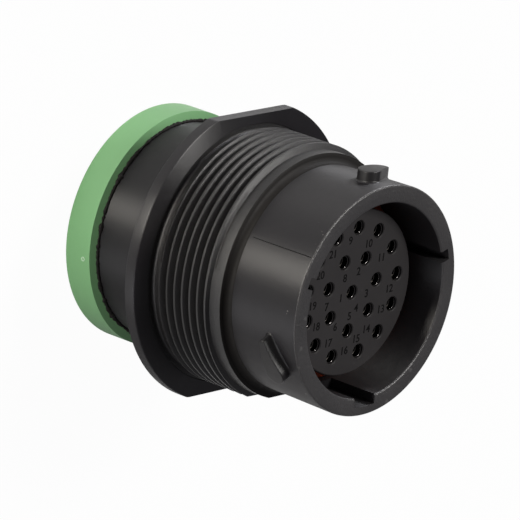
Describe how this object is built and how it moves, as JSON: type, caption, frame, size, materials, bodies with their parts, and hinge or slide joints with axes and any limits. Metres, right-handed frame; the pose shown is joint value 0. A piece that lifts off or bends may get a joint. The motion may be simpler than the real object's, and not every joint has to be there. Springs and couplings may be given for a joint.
{
  "type": "circular receptacle connector",
  "caption": "Circular panel receptacle with a threaded flanged shell, bayonet lugs, keyed mouth, round socket insert and a rear sealing ring.",
  "frame": {"origin": "centre of the retaining ring's rear face, on which the connector stands", "axes": "+Z along the connector's axis towards the mating face, +Y through the bayonet lug opposite the wide keyway"},
  "size_m": [0.0426, 0.0396, 0.0423],
  "materials": {
    "shell": "satin black moulded thermoplastic",
    "ring": "satin green moulded thermoplastic",
    "insert": "satin black moulded thermoplastic",
    "silicone": "matt orange-red silicone",
    "plate": "plain black thermoplastic",
    "contact": "nickel plated, machined"
  },
  "bodies": {
    "root": {"shell": "shell", "retaining_ring": "ring", "front_insert": "insert", "interface_seal": "silicone", "retention_plate": "plate", "wire_grommet": "silicone", "contact_01": "contact", "contact_02": "contact", "contact_03": "contact", "contact_04": "contact", "contact_05": "contact", "contact_06": "contact", "contact_07": "contact", "contact_08": "contact", "contact_09": "contact", "contact_10": "contact", "contact_11": "contact", "contact_12": "contact", "contact_13": "contact", "contact_14": "contact", "contact_15": "contact", "contact_16": "contact", "contact_17": "contact", "contact_18": "contact", "contact_19": "contact", "contact_20": "contact", "contact_21": "contact"}
  },
  "joints": []
}
